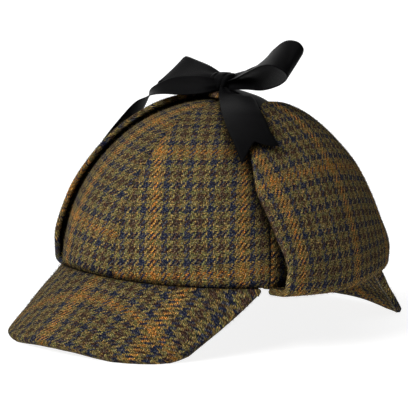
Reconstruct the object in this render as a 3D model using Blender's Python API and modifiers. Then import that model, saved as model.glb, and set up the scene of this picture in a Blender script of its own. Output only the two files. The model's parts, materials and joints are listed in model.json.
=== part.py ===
"""Deerstalker hat with its ear flaps turned up and tied with a ribbon bow.

Metres, +Z up. The front peak points to -Y and the wearer's left is +X.
The hat stands on the lowest stretches of its two peaks at z = 0.
"""
import math

import bmesh
import bpy
from mathutils import Vector

# Crown: a six-gore dome, measured over the cloth
CROWN_LENGTH = 0.2034
CROWN_WIDTH = 0.1724
CROWN_HEIGHT = 0.098
CROWN_WALL = 0.003
GORE_COUNT = 6
SEAM_DEPTH = 0.0008
RIM_HEIGHT = 0.038          # crown's rim above the surface that the hat stands on

# Covered button on the crown's top
BUTTON_DIAMETER = 0.022
BUTTON_HEIGHT = 0.005

# Peaks: stiffened cloth, sewn under the rim
PEAK_THICKNESS = 0.0045
PEAK_EDGE_LIFT = 0.0005     # lowest point of a peak's middle layer over the surface
FRONT_PEAK_SPAN = 56.5      # degrees of the rim's ellipse on each side of the front
FRONT_PEAK_REACH = 0.0485
REAR_PEAK_SPAN = 49.0
REAR_PEAK_REACH = 0.0443

# Ear flaps: doubled cloth, folded up from under the rim and tied over the crown
FLAP_THICKNESS = 0.004
FLAP_STAND_LEFT = 0.0065    # air between crown and flap at the flap's middle
FLAP_STAND_RIGHT = 0.0045
FOLD_RADIUS = 0.0045

# Ribbon and its bow
RIBBON_WIDTH = 0.022
RIBBON_THICKNESS = 0.001
KNOT_LENGTH = 0.0065        # along X
KNOT_DEPTH = 0.009          # along Y
KNOT_HEIGHT = 0.010
KNOT_ROUNDING = 0.0028
KNOT_FORWARD = 0.002

GAP = 0.0003                # clearance between pieces that touch
SEAM_ALLOWANCE = 0.0005     # how far inside the crown's face a peak starts to slope
SEAM_CLEARANCE = 0.0002     # more room where cloth bends under the rim

HALF_LENGTH = CROWN_LENGTH / 2
HALF_WIDTH = CROWN_WIDTH / 2
BUTTON_BASE = CROWN_HEIGHT + GAP
KNOT_CENTRE = Vector((0, -KNOT_FORWARD, BUTTON_BASE + BUTTON_HEIGHT + GAP + KNOT_HEIGHT / 2))
KNOT_LEFT = KNOT_CENTRE + Vector((KNOT_LENGTH / 2 + GAP, 0, 0))
KNOT_RIGHT = KNOT_CENTRE - Vector((KNOT_LENGTH / 2 + GAP, 0, 0))
KNOT_FRONT = KNOT_CENTRE - Vector((0, KNOT_DEPTH / 2 + GAP + RIBBON_THICKNESS / 2, 0))

# Half a peak as lines ruled outward from the rim: the first row is the peak's middle line
# and the last one its side edge. along is a share of the span, reach of the peak's reach
# and drop of the height down to the floor. fan is in degrees outward from straight ahead.
# sag is how far a line's middle hangs under a straight one, as a share of the same height.
# Columns: along, reach, fan, drop, sag
FRONT_PEAK_ROWS = (
    (0.00, 1.000, 0.0, 0.880, 0.00),
    (0.20, 1.015, -2.7, 0.895, 0.00),
    (0.40, 1.058, -5.0, 0.935, 0.01),
    (0.60, 1.112, -6.3, 0.980, 0.02),
    (0.80, 1.121, -6.9, 0.995, 0.03),
    (0.90, 1.096, -7.6, 0.955, 0.05),
    (1.00, 1.052, -8.8, 0.860, 0.06),
)
REAR_PEAK_ROWS = (
    (0.00, 1.000, 0.0, 0.880, 0.00),
    (0.20, 1.033, -5.9, 0.885, -0.01),
    (0.40, 1.131, -10.2, 0.910, -0.03),
    (0.60, 1.262, -11.8, 0.950, -0.05),
    (0.80, 1.390, -11.2, 0.980, -0.07),
    (1.00, 1.490, -8.8, 1.000, -0.10),
)

# An ear flap from its fold to its tip.
# roll: degrees up the crown's side; front and rear: its edges, as shares of the crown's
# half length; front_gap, middle_gap and rear_gap: air under it, as shares of its stand-off.
# Columns: roll, front, rear, front_gap, middle_gap, rear_gap
FLAP_ROWS = (
    (0.0, -0.500, 0.590, 0.80, 1.00, 1.20),
    (5.0, -0.500, 0.610, 1.30, 1.05, 1.35),
    (10.0, -0.512, 0.625, 1.40, 1.00, 1.25),
    (20.0, -0.530, 0.635, 0.95, 0.90, 0.85),
    (35.0, -0.530, 0.625, 0.45, 0.75, 0.60),
    (44.0, -0.490, 0.590, 0.35, 0.70, 0.55),
    (53.0, -0.430, 0.530, 0.35, 0.70, 0.50),
    (60.0, -0.345, 0.455, 0.40, 0.65, 0.50),
    (66.0, -0.220, 0.360, 0.50, 0.60, 0.55),
    (69.0, -0.120, 0.280, 0.50, 0.55, 0.50),
    (71.5, -0.030, 0.190, 0.45, 0.50, 0.45),
)

# Ribbon sections: the ribbon's two edges as shares of its width, a loop's from the knot's
# side and a tail's from its front.
# Columns: near_x, near_y, near_z, far_x, far_y, far_z
LEFT_LOOP_ROWS = (
    (0.02, -0.10, 0.06, 0.02, 0.12, 0.18),
    (0.45, -0.34, 0.16, 0.38, 0.10, 0.30),
    (1.05, -0.70, 0.37, 0.72, -0.04, 0.38),
    (1.64, -0.95, 0.58, 1.19, -0.11, 0.73),
    (2.02, -1.01, 0.62, 1.53, -0.24, 1.02),
    (2.25, -0.96, 0.55, 1.86, -0.33, 1.23),
    (2.36, -0.87, 0.46, 2.13, -0.37, 1.30),
    (2.34, -0.75, 0.34, 2.40, -0.35, 1.25),
    (2.13, -0.58, 0.18, 2.46, -0.22, 1.05),
    (1.75, -0.41, 0.02, 2.20, 0.02, 0.80),
    (1.21, -0.22, -0.10, 1.59, 0.50, 0.46),
    (0.67, -0.16, -0.08, 0.74, 0.40, 0.22),
    (0.02, -0.14, -0.05, 0.02, 0.14, 0.04),
)
RIGHT_LOOP_ROWS = (
    (-0.02, -0.14, 0.02, -0.02, 0.08, 0.19),
    (-0.58, -0.30, -0.03, -0.54, 0.22, 0.36),
    (-1.19, -0.42, -0.12, -1.09, 0.34, 0.47),
    (-1.72, -0.44, -0.16, -1.49, 0.40, 0.54),
    (-1.88, -0.33, -0.26, -1.66, 0.50, 0.46),
    (-1.78, -0.20, -0.36, -1.56, 0.58, 0.36),
    (-1.19, -0.14, -0.22, -1.04, 0.48, 0.24),
    (-0.59, -0.10, -0.08, -0.54, 0.34, 0.12),
    (-0.02, -0.06, -0.05, -0.02, 0.16, 0.05),
)
LEFT_TAIL_ROWS = (
    (0.03, 0.00, -0.08, 0.22, 0.00, -0.18),
    (0.10, -0.18, -0.26, 0.76, -0.10, -0.32),
    (0.30, -0.43, -0.40, 1.28, -0.27, -0.28),
    (0.89, -1.13, -0.61, 1.95, -0.86, -0.54),
    (1.30, -1.54, -0.84, 2.27, -1.04, -0.76),
    (1.70, -1.85, -1.12, 2.55, -1.20, -1.02),
    (2.05, -2.06, -1.40, 2.76, -1.26, -1.22),
    (2.46, -2.27, -1.83, 2.89, -1.26, -1.36),
)
RIGHT_TAIL_ROWS = (
    (-0.04, 0.00, -0.20, -0.10, 0.00, 0.06),
    (-0.30, -0.34, -0.34, -0.46, -0.22, 0.12),
    (-0.80, -0.58, -0.42, -0.98, -0.46, 0.07),
    (-1.32, -0.68, -0.44, -1.40, -0.52, -0.04),
    (-1.74, -0.72, -0.50, -2.00, -0.42, -0.34),
    (-1.98, -0.66, -0.58, -2.40, 0.00, -0.62),
    (-2.43, -0.57, -0.77, -2.79, 0.34, -0.95),
    (-2.95, -0.56, -1.28, -3.10, 0.39, -1.38),
    (-3.48, -0.60, -1.94, -3.52, 0.39, -1.96),
    (-3.80, -0.60, -2.52, -3.82, 0.39, -2.54),
    (-3.97, -0.60, -3.02, -3.99, 0.39, -3.04),
)
TAIL_NOTCH = 0.5            # depth of the swallow-tail cut, as a share of the ribbon's width

# A tie ribbon from a flap's tip to the knot: along is the share of the way,
# lift a share of the ribbon's width, half_width a share of it too.
# Columns: along, lift, half_width
TIE_ROWS = (
    (0.00, 0.00, 0.50),
    (0.35, 0.08, 0.46),
    (0.70, 0.06, 0.32),
    (1.00, 0.00, 0.16),
)
TIE_SEWN_ROLLS = (65.0, 69.0, 73.5)  # degrees up the crown, along the inside of the flap
TIE_MIDDLE = 0.080                   # middle of the flap's tip, as a share of the half length
TIE_END_DROP = 0.165                  # where it meets the knot, as a share of the ribbon's width

PIECES = {}


def spline_rows(rows, share):
    """Row values at a share (0 to 1) of the way through a table, by Catmull-Rom."""
    place = share * (len(rows) - 1)
    first = min(int(place), len(rows) - 2)
    t = place - first
    before, start, end, after = (rows[min(max(first + k, 0), len(rows) - 1)] for k in (-1, 0, 1, 2))
    return [
        0.5 * (2 * b + (c - a) * t + (2 * a - 5 * b + 4 * c - d) * t * t
               + (3 * b - a - 3 * c + d) * t * t * t)
        for a, b, c, d in zip(before, start, end, after)
    ]


def share_at(rows, value):
    """Share of the way through a table at which its first column reaches a value."""
    low, high = 0.0, 1.0
    for _ in range(30):
        middle = (low + high) / 2
        if spline_rows(rows, middle)[0] < value:
            low = middle
        else:
            high = middle
    return (low + high) / 2


def grid_mesh(name, grid):
    """Open quad surface through a grid of points, as an object."""
    mesh = bpy.data.meshes.new(name)
    columns = len(grid[0])
    points = [point for row in grid for point in row]
    faces = [
        (r * columns + c, r * columns + c + 1, (r + 1) * columns + c + 1, (r + 1) * columns + c)
        for r in range(len(grid) - 1) for c in range(columns - 1)
    ]
    mesh.from_pydata(points, [], faces)
    return bpy.data.objects.new(name, mesh)


def add_piece(piece, material):
    """Link a piece to the hat's collection with its material."""
    piece.data.materials.append(material)
    HAT.objects.link(piece)
    PIECES[piece.name] = piece
    return piece


def thicken(piece, thickness, offset=0.0):
    """Give an open surface its thickness."""
    solid = piece.modifiers.new("Thickness", "SOLIDIFY")
    solid.thickness = thickness
    solid.offset = offset


def cloth_material(name, colour, roughness):
    material = bpy.data.materials.new(name)
    material.use_nodes = True
    shader = material.node_tree.nodes["Principled BSDF"]
    shader.inputs["Base Color"].default_value = (*colour, 1)
    shader.inputs["Roughness"].default_value = roughness
    shader.inputs["Metallic"].default_value = 0.0
    material.diffuse_color = (*colour, 1)
    return material


def crown_surface(roll, across, away):
    """Point over the crown's side: roll degrees up from the rim, across along Y, away off it."""
    waist = math.sqrt(1 - (across / (HALF_LENGTH + away)) ** 2)
    angle = math.radians(roll)
    return Vector((
        (HALF_WIDTH + away) * math.cos(angle) * waist,
        across,
        (CROWN_HEIGHT + away) * math.sin(angle) * waist,
    ))


def make_crown(material):
    """Half an ellipsoid, drawn in a little along the seams between its gores."""
    segments = 48
    mesh = bpy.data.meshes.new("crown")
    dome = bmesh.new()
    bmesh.ops.create_uvsphere(dome, u_segments=segments, v_segments=segments // 2, radius=1.0)
    below = [vert for vert in dome.verts if vert.co.z < -0.001]
    bmesh.ops.delete(dome, geom=below, context="VERTS")
    for vert in dome.verts:
        angle = math.atan2(vert.co.x, -vert.co.y)
        from_seam = math.sin(angle * GORE_COUNT / 2) ** 2
        level = math.hypot(vert.co.x, vert.co.y)
        drawn_in = 1 - SEAM_DEPTH / HALF_WIDTH * level * (1 - from_seam) ** 4
        vert.co.x *= HALF_WIDTH * drawn_in
        vert.co.y *= HALF_LENGTH * drawn_in
        vert.co.z *= CROWN_HEIGHT
    dome.to_mesh(mesh)
    dome.free()
    crown = add_piece(bpy.data.objects.new("crown", mesh), material)
    thicken(crown, CROWN_WALL, offset=-1.0)


def make_button(material):
    """A covered button: a low dome with a flat underside."""
    mesh = bpy.data.meshes.new("crown_button")
    dome = bmesh.new()
    bmesh.ops.create_uvsphere(dome, u_segments=24, v_segments=12, radius=1.0)
    for vert in dome.verts:
        flat_side = vert.co.z < -0.3
        vert.co.x *= BUTTON_DIAMETER / 2
        vert.co.y *= BUTTON_DIAMETER / 2
        vert.co.z = 0.0 if flat_side else (vert.co.z + 0.3) / 1.3 * BUTTON_HEIGHT
        vert.co.z += BUTTON_BASE
    dome.to_mesh(mesh)
    dome.free()
    add_piece(bpy.data.objects.new("crown_button", mesh), material)


def make_peak(name, direction, span, reach, rows, material):
    """A peak ruled from under the rim to its outer edge; direction is -1 in front, 1 behind."""
    drop = RIM_HEIGHT - PEAK_EDGE_LIFT
    columns = 41
    bands = 7
    under_rim = -(GAP + PEAK_THICKNESS / 2) - SEAM_CLEARANCE
    grid = []
    for column in range(columns):
        side = 2 * column / (columns - 1) - 1
        _, edge_reach, fan, edge_drop, sag = spline_rows(rows, share_at(rows, abs(side)))
        seam = math.radians(span) * side
        ahead = math.radians(fan) * side / max(abs(side), 1e-9)
        line = []
        for inset in (CROWN_WALL, SEAM_ALLOWANCE):
            line.append(Vector((
                (HALF_WIDTH - inset) * math.sin(seam),
                (HALF_LENGTH - inset) * math.cos(seam) * direction,
                under_rim,
            )))
        edge = line[0] + Vector((
            reach * edge_reach * math.sin(ahead),
            reach * edge_reach * math.cos(ahead) * direction,
            -drop * edge_drop - under_rim,
        ))
        for band in range(1, bands + 1):
            share = band / bands
            point = line[1].lerp(edge, share)
            point.z -= 4 * share * (1 - share) * sag * drop
            line.append(point)
        grid.append(line)
    peak = add_piece(grid_mesh(name, grid), material)
    thicken(peak, PEAK_THICKNESS)
    stand_flat(peak)


def stand_flat(piece):
    """Press the lowest stretch of a piece flat on the surface that the hat stands on."""
    size = 2 * CROWN_LENGTH
    bpy.ops.mesh.primitive_cube_add(size=size, location=(0, 0, -RIM_HEIGHT - size / 2))
    cutter = bpy.context.object
    cutter.name = piece.name + "_floor_cutter"
    for collection in list(cutter.users_collection):
        collection.objects.unlink(cutter)
    CUTTERS.objects.link(cutter)
    cutter.hide_render = True
    cutter.display_type = "WIRE"
    cut = piece.modifiers.new("Stands flat", "BOOLEAN")
    cut.operation = "DIFFERENCE"
    cut.object = cutter


def flap_layer(side, stand, roll, across, above=0.0):
    """Point on a flap's middle layer; across runs from 0 at its front edge to 1 at its rear."""
    _, front, rear, front_gap, middle_gap, rear_gap = spline_rows(
        FLAP_ROWS, share_at(FLAP_ROWS, roll))
    length = HALF_LENGTH * (front + (rear - front) * across)
    bow = 4 * across * (1 - across)
    edge_gap = front_gap + (rear_gap - front_gap) * across
    air = stand * (edge_gap + (middle_gap - (front_gap + rear_gap) / 2) * bow)
    point = crown_surface(roll, length, air + FLAP_THICKNESS / 2 + above)
    point.x *= side
    return point


def share_across_flap(roll, length):
    """Share of the way across a flap at a length along Y."""
    _, front, rear, *_ = spline_rows(FLAP_ROWS, share_at(FLAP_ROWS, roll))
    return (length / HALF_LENGTH - front) / (rear - front)


def make_flap(name, side, stand, material):
    """An ear flap: out from under the rim, round its fold and up over the crown's side."""
    columns = 15
    first_roll = 3.0
    last_roll = FLAP_ROWS[-1][0]
    rising_rows = 17
    fold_steps = 4
    fold_z = -(GAP + FLAP_THICKNESS / 2) - SEAM_CLEARANCE
    grid = []
    for column in range(columns):
        across = column / (columns - 1)
        upright = flap_layer(side, stand, first_roll, across)
        radius = FOLD_RADIUS
        tangent = upright.copy()
        tangent.z = fold_z
        outward = Vector((side, 0, 0))
        inner = Vector(((HALF_WIDTH - CROWN_WALL / 2) * side, upright.y, fold_z))
        inner.x *= math.sqrt(1 - (upright.y / (HALF_LENGTH - CROWN_WALL / 2)) ** 2)
        line = [inner]
        for step in range(fold_steps + 1):
            turn = math.pi / 2 * step / fold_steps
            line.append(tangent - outward * radius * (1 - math.sin(turn))
                        + Vector((0, 0, radius * (1 - math.cos(turn)))))
        for row in range(1, rising_rows + 1):
            share = row / rising_rows
            roll = first_roll + (last_roll - first_roll) * share
            line.append(flap_layer(side, stand, roll, across))
        grid.append(line)
    flap = add_piece(grid_mesh(name, grid), material)
    thicken(flap, FLAP_THICKNESS)


def make_knot(material):
    """The bow's knot: one turn of ribbon drawn tight round the loops."""
    mesh = bpy.data.meshes.new("bow_knot")
    block = bmesh.new()
    bmesh.ops.create_cube(block, size=1.0)
    for vert in block.verts:
        vert.co.x *= KNOT_LENGTH
        vert.co.y *= KNOT_DEPTH
        vert.co.z *= KNOT_HEIGHT
        vert.co += KNOT_CENTRE
    block.to_mesh(mesh)
    block.free()
    knot = add_piece(bpy.data.objects.new("bow_knot", mesh), material)
    rounding = knot.modifiers.new("Rounded edges", "BEVEL")
    rounding.width = KNOT_ROUNDING
    rounding.segments = 3


def make_ribbon(name, anchor, sections, steps, material, notch=0.0):
    """A ribbon through sections given by its two edges; notch cuts its free end."""
    grid = []
    for step in range(steps + 1):
        row = spline_rows(sections, step / steps)
        near = anchor + Vector(row[:3]) * RIBBON_WIDTH
        far = anchor + Vector(row[3:]) * RIBBON_WIDTH
        grid.append([near, near.lerp(far, 0.5), far])
    if notch:
        run = (grid[-1][1] - grid[-3][1]).normalized()
        for step in range(steps // 2, steps + 1):
            drawn_back = (step - steps // 2) / (steps - steps // 2)
            grid[step][1] = grid[step][1] - run * notch * RIBBON_WIDTH * drawn_back
    ribbon = add_piece(grid_mesh(name, grid), material)
    thicken(ribbon, RIBBON_THICKNESS)


def make_tie(name, side, stand, knot_side, material):
    """A tie ribbon sewn inside a flap's tip, which runs up to the knot."""
    below = -(FLAP_THICKNESS + RIBBON_THICKNESS) / 2 - 2 * GAP
    middle = TIE_MIDDLE * HALF_LENGTH
    across = (-1, -0.5, 0, 0.5, 1)
    half = TIE_ROWS[0][2] * RIBBON_WIDTH
    grid = []
    for roll in TIE_SEWN_ROLLS:
        lengths = [middle + half * share for share in across]
        grid.append([
            flap_layer(side, stand, roll, share_across_flap(roll, length), below)
            for length in lengths
        ])
    tip = grid[-1]
    end = knot_side - Vector((0, 0, TIE_END_DROP * RIBBON_WIDTH))
    steps = 8
    for step in range(1, steps + 1):
        along, lift, half_width = spline_rows(TIE_ROWS, step / steps)
        narrowing = half_width / TIE_ROWS[0][2]
        centre = tip[2].lerp(end, along) + Vector((0, 0, lift * RIBBON_WIDTH))
        grid.append([centre + (point - tip[2]) * narrowing for point in tip])
    tie = add_piece(grid_mesh(name, grid), material)
    thicken(tie, RIBBON_THICKNESS)


def place_on_origin():
    """Stand the hat on z = 0 with its plan box centred on the origin."""
    bpy.context.view_layer.update()
    depsgraph = bpy.context.evaluated_depsgraph_get()
    lows, highs = [], []
    for piece in PIECES.values():
        evaluated = piece.evaluated_get(depsgraph)
        corners = [vert.co.copy() for vert in evaluated.data.vertices]
        lows.append([min(corner[axis] for corner in corners) for axis in range(3)])
        highs.append([max(corner[axis] for corner in corners) for axis in range(3)])
    centre = [
        (min(low[axis] for low in lows) + max(high[axis] for high in highs)) / 2
        for axis in range(2)
    ]
    stand = bpy.data.objects.new("hat_stand_point", None)
    HAT.objects.link(stand)
    stand.location = (-centre[0], -centre[1], RIM_HEIGHT)
    for piece in list(PIECES.values()) + list(CUTTERS.objects):
        piece.parent = stand
    bpy.context.view_layer.update()


for old in list(bpy.data.objects):
    bpy.data.objects.remove(old, do_unlink=True)
HAT = bpy.data.collections.new("deerstalker_hat")
CUTTERS = bpy.data.collections.new("cutters")
bpy.context.scene.collection.children.link(HAT)
bpy.context.scene.collection.children.link(CUTTERS)

TWEED = cloth_material("tweed", (0.20, 0.15, 0.05), 0.9)
RUST_TWEED = cloth_material("button_tweed", (0.36, 0.20, 0.05), 0.9)
RIBBON = cloth_material("ribbon", (0.01, 0.01, 0.011), 0.5)

make_crown(TWEED)
make_button(RUST_TWEED)
make_peak("front_peak", -1, FRONT_PEAK_SPAN, FRONT_PEAK_REACH, FRONT_PEAK_ROWS, TWEED)
make_peak("rear_peak", 1, REAR_PEAK_SPAN, REAR_PEAK_REACH, REAR_PEAK_ROWS, TWEED)
make_flap("ear_flap_left", 1, FLAP_STAND_LEFT, TWEED)
make_flap("ear_flap_right", -1, FLAP_STAND_RIGHT, TWEED)
make_tie("tie_left", 1, FLAP_STAND_LEFT, KNOT_LEFT, RIBBON)
make_tie("tie_right", -1, FLAP_STAND_RIGHT, KNOT_RIGHT, RIBBON)
make_knot(RIBBON)
make_ribbon("bow_loop_left", KNOT_LEFT, LEFT_LOOP_ROWS, 30, RIBBON)
make_ribbon("bow_loop_right", KNOT_RIGHT, RIGHT_LOOP_ROWS, 24, RIBBON)
make_ribbon("bow_tail_left", KNOT_FRONT, LEFT_TAIL_ROWS, 18, RIBBON, TAIL_NOTCH)
make_ribbon("bow_tail_right", KNOT_FRONT, RIGHT_TAIL_ROWS, 26, RIBBON, TAIL_NOTCH)
place_on_origin()
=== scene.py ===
"""Deerstalker hat: its cloth, ribbon, light and camera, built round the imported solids.

Metres, +Z up. The front peak points to -Y and the wearer's left is +X.
"""
import json
import math

import bpy
import numpy as np
from mathutils import Matrix, Vector

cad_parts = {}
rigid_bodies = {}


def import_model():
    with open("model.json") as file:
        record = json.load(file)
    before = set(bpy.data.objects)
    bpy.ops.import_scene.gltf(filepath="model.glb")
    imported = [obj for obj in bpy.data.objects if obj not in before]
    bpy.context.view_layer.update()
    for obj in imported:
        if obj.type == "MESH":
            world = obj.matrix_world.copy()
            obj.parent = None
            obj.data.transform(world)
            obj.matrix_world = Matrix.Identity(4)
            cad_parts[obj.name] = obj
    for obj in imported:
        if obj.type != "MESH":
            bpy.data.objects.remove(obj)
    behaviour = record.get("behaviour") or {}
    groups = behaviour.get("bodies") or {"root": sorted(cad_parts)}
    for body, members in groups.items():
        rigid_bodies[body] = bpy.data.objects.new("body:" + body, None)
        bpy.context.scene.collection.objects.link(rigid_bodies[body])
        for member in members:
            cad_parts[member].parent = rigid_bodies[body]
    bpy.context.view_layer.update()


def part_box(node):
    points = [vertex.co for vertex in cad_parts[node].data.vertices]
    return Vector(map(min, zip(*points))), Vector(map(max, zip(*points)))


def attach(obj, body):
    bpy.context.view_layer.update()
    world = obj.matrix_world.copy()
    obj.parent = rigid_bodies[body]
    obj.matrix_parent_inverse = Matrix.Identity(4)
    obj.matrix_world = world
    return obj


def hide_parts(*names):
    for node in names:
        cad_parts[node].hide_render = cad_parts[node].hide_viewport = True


bl_info = {
    "name": "Deerstalker Hat",
    "version": (1, 0, 0),
    "blender": (4, 5, 0),
    "location": "View3D > Sidebar > Hat",
    "description": "Builds a tweed deerstalker hat with a ribbon bow",
    "category": "Object",
}

for start_object in list(bpy.data.objects):
    bpy.data.objects.remove(start_object, do_unlink=True)
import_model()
CROWN_LOW, CROWN_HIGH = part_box("crown")

CROWN_HEIGHT = 0.098
# Middle of the crown's rim
RIM = Vector(((CROWN_LOW.x + CROWN_HIGH.x) / 2, (CROWN_LOW.y + CROWN_HIGH.y) / 2,
              CROWN_HIGH.z - CROWN_HEIGHT))
RIM_ARRAY = np.array(RIM)

GORES = 6
GORE_TURN = 2 * math.pi / GORES
GORE_PUFF = 0.0007          # how far a gore's middle swells out
HEM_DEPTH = 0.0015          # how far the rim draws in
HEM_RISE = 0.016            # how far up the rim it does so, in radians
FACE_INSET = 0.0004         # outer cloth's face inside the crown's size, less the swell
FRONT_PEAK_SPAN = 56.5      # degrees of the rim's ellipse on each side of the front
REAR_PEAK_SPAN = 49.0
RIM_RADIUS = 0.094          # mean radius of the rim
UNDER_RIM = 0.0025          # how far a peak runs in under the rim
SEAM_ALLOWANCE = 0.0005     # how far inside the crown's face a peak starts to slope
SEAM_CLEARANCE = 0.0002     # more room where cloth bends under the rim
WELT_RADIUS = 0.0005
REAR_LIFT = 0.0056          # lift of the rim behind the ears, over the solids
TEMPLE_DROP = 0.0042        # drop of the rim at the right temple, under the solids
FIBRE_RADIUS = 0.000055
FIBRE_CLEARANCE = 0.0028    # height over the floor below which no fibre grows

# The photo's frame and camera: pixels to a metre at the hat, the pixel that the camera aims
# at, and the camera's own axes, 35.6 degrees round from the front, 6.7 up and rolled by 3.3.
PHOTO_SIDE = 408
PIXELS_A_METRE = 1670
AIM_PIXEL_FROM_MIDDLE = (17.77, -25.17)
AIM_HEIGHT = 0.05
CAMERA_BACK = (0.5780, -0.8075, 0.1172)
CAMERA_RIGHT = (0.8077, 0.5865, 0.0575)
SENSOR_WIDTH = 36.0

FLOOR_REACH = 12.0
FLOOR_GLOW_SEEN = 0.28      # more glow where the camera sees the floor itself
CARD_DIRECTION = (-0.82, 0.36, 0.44)
CARD_FALL_OFF = 3.0
CARD_FLOOR = -0.07          # darkening of reflections that point away from the card

# Tables that repeat the solids' shapes. Front and rear peak: along (share of the span),
# reach (share of the reach), fan (degrees outward), drop and sag (shares of the drop).
FRONT_PEAK_ROWS = (
    (0.00, 1.000, 0.0, 0.880, 0.00),
    (0.20, 1.015, -2.7, 0.895, 0.00),
    (0.40, 1.058, -5.0, 0.935, 0.01),
    (0.60, 1.112, -6.3, 0.980, 0.02),
    (0.80, 1.121, -6.9, 0.995, 0.03),
    (0.90, 1.096, -7.6, 0.955, 0.05),
    (1.00, 1.052, -8.8, 0.860, 0.06),
)
REAR_PEAK_ROWS = (
    (0.00, 1.000, 0.0, 0.880, 0.00),
    (0.20, 1.033, -5.9, 0.885, -0.01),
    (0.40, 1.131, -10.2, 0.910, -0.03),
    (0.60, 1.262, -11.8, 0.950, -0.05),
    (0.80, 1.390, -11.2, 0.980, -0.07),
    (1.00, 1.490, -8.8, 1.000, -0.10),
)
# Ear flap: roll (degrees up the crown's side), front and rear edge (shares of the crown's
# half length), and the air under its front, middle and rear (shares of its stand-off).
FLAP_ROWS = (
    (0.0, -0.500, 0.590, 0.80, 1.00, 1.20),
    (5.0, -0.500, 0.610, 1.30, 1.05, 1.35),
    (10.0, -0.512, 0.625, 1.40, 1.00, 1.25),
    (20.0, -0.530, 0.635, 0.95, 0.90, 0.85),
    (35.0, -0.530, 0.625, 0.45, 0.75, 0.60),
    (44.0, -0.490, 0.590, 0.35, 0.70, 0.55),
    (53.0, -0.430, 0.530, 0.35, 0.70, 0.50),
    (60.0, -0.345, 0.455, 0.40, 0.65, 0.50),
    (66.0, -0.220, 0.360, 0.50, 0.60, 0.55),
    (69.0, -0.120, 0.280, 0.50, 0.55, 0.50),
    (71.5, -0.030, 0.190, 0.45, 0.50, 0.45),
)
# Ribbon: its near and far edge (x, y, z), in ribbon widths from the knot.
LEFT_LOOP_ROWS = (
    (0.02, -0.18, -0.02, 0.02, 0.14, 0.22),
    (0.45, -0.38, 0.13, 0.38, 0.10, 0.33),
    (1.05, -0.70, 0.37, 0.72, -0.04, 0.38),
    (1.64, -0.95, 0.58, 1.19, -0.11, 0.73),
    (2.02, -1.01, 0.62, 1.53, -0.24, 1.02),
    (2.25, -0.96, 0.55, 1.86, -0.33, 1.23),
    (2.36, -0.87, 0.46, 2.13, -0.37, 1.30),
    (2.34, -0.75, 0.34, 2.40, -0.35, 1.25),
    (2.13, -0.58, 0.18, 2.46, -0.22, 1.05),
    (1.75, -0.41, 0.02, 2.05, 0.10, 0.80),
    (1.21, -0.24, -0.12, 1.34, 0.42, 0.74),
    (0.67, -0.22, -0.14, 0.68, 0.34, 0.52),
    (0.02, -0.18, -0.20, 0.02, 0.16, 0.15),
)
RIGHT_LOOP_ROWS = (
    (-0.02, -0.14, 0.02, -0.02, 0.08, 0.19),
    (-0.58, -0.30, -0.03, -0.54, 0.22, 0.36),
    (-1.19, -0.42, -0.12, -1.09, 0.34, 0.47),
    (-1.72, -0.44, -0.16, -1.49, 0.40, 0.54),
    (-1.88, -0.33, -0.26, -1.66, 0.50, 0.46),
    (-1.78, -0.20, -0.36, -1.56, 0.58, 0.36),
    (-1.19, -0.14, -0.22, -1.04, 0.48, 0.24),
    (-0.59, -0.10, -0.08, -0.54, 0.34, 0.12),
    (-0.02, -0.06, -0.05, -0.02, 0.16, 0.05),
)
LEFT_TAIL_ROWS = (
    (0.03, 0.00, -0.08, 0.22, 0.00, -0.18),
    (0.10, -0.18, -0.26, 0.76, -0.10, -0.32),
    (0.30, -0.43, -0.40, 1.28, -0.27, -0.28),
    (0.89, -1.13, -0.61, 1.95, -0.86, -0.54),
    (1.30, -1.54, -0.84, 2.27, -1.04, -0.76),
    (1.70, -1.85, -1.12, 2.55, -1.20, -1.02),
    (2.05, -2.06, -1.40, 2.76, -1.26, -1.22),
    (2.46, -2.27, -1.83, 2.89, -1.26, -1.36),
)
RIGHT_TAIL_ROWS = (
    (-0.04, 0.00, -0.20, -0.10, 0.00, 0.06),
    (-0.30, -0.34, -0.34, -0.46, -0.22, 0.12),
    (-0.80, -0.58, -0.42, -0.98, -0.46, 0.07),
    (-1.32, -0.68, -0.44, -1.40, -0.52, -0.04),
    (-1.74, -0.72, -0.50, -2.00, -0.42, -0.34),
    (-1.98, -0.66, -0.58, -2.40, 0.00, -0.62),
    (-2.43, -0.57, -0.77, -2.79, 0.34, -0.95),
    (-2.95, -0.56, -1.28, -3.10, 0.39, -1.38),
    (-3.48, -0.60, -1.94, -3.52, 0.39, -1.96),
    (-3.80, -0.60, -2.52, -3.82, 0.39, -2.54),
    (-3.97, -0.60, -3.02, -3.99, 0.39, -3.04),
)
# Tie: along (share of the way to the knot), lift and half_width (ribbon widths).
TIE_ROWS = (
    (0.00, 0.00, 0.50),
    (0.35, 0.08, 0.46),
    (0.70, 0.06, 0.32),
    (1.00, 0.00, 0.16),
)
TIE_SEWN_ROLLS = (65.0, 69.0, 73.5)
TIE_MIDDLE = 0.080
TIE_END_DROP = 0.165
TAIL_NOTCH = 0.5

# How each panel was cut from the check cloth: turn (radians), stretch of the check across,
# and where its rust stripes fall, across and up the panel (metres).
CUTS = {
    "gore_0": (0.09, 1.0, 0.0265, 0.0034),
    "gore_1": (-0.05, 1.0, 0.0080, 0.0150),
    "gore_2": (0.04, 1.0, 0.0310, 0.0500),
    "gore_3": (-0.07, 1.0, 0.0190, 0.0280),
    "gore_4": (0.06, 1.0, 0.0430, 0.0610),
    "gore_5": (-0.09, 1.0, 0.0100, 0.0545),
    "ear_flap_left": (0.02, 1.078, 0.0545, 0.0135),
    "ear_flap_right": (-0.03, 1.0, 0.0150, 0.0360),
    "front_peak": (0.0, 0.985, 0.0173, 0.0142),
    "rear_peak": (-0.03, 1.0, 0.0350, 0.0350),
    "button": (0.5, 1.0, 0.0080, 0.0092),
}


def length(name, default, text):
    return bpy.props.FloatProperty(name=name, description=text, default=default, min=0.0,
                                   precision=5, unit="LENGTH", subtype="DISTANCE")


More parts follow.
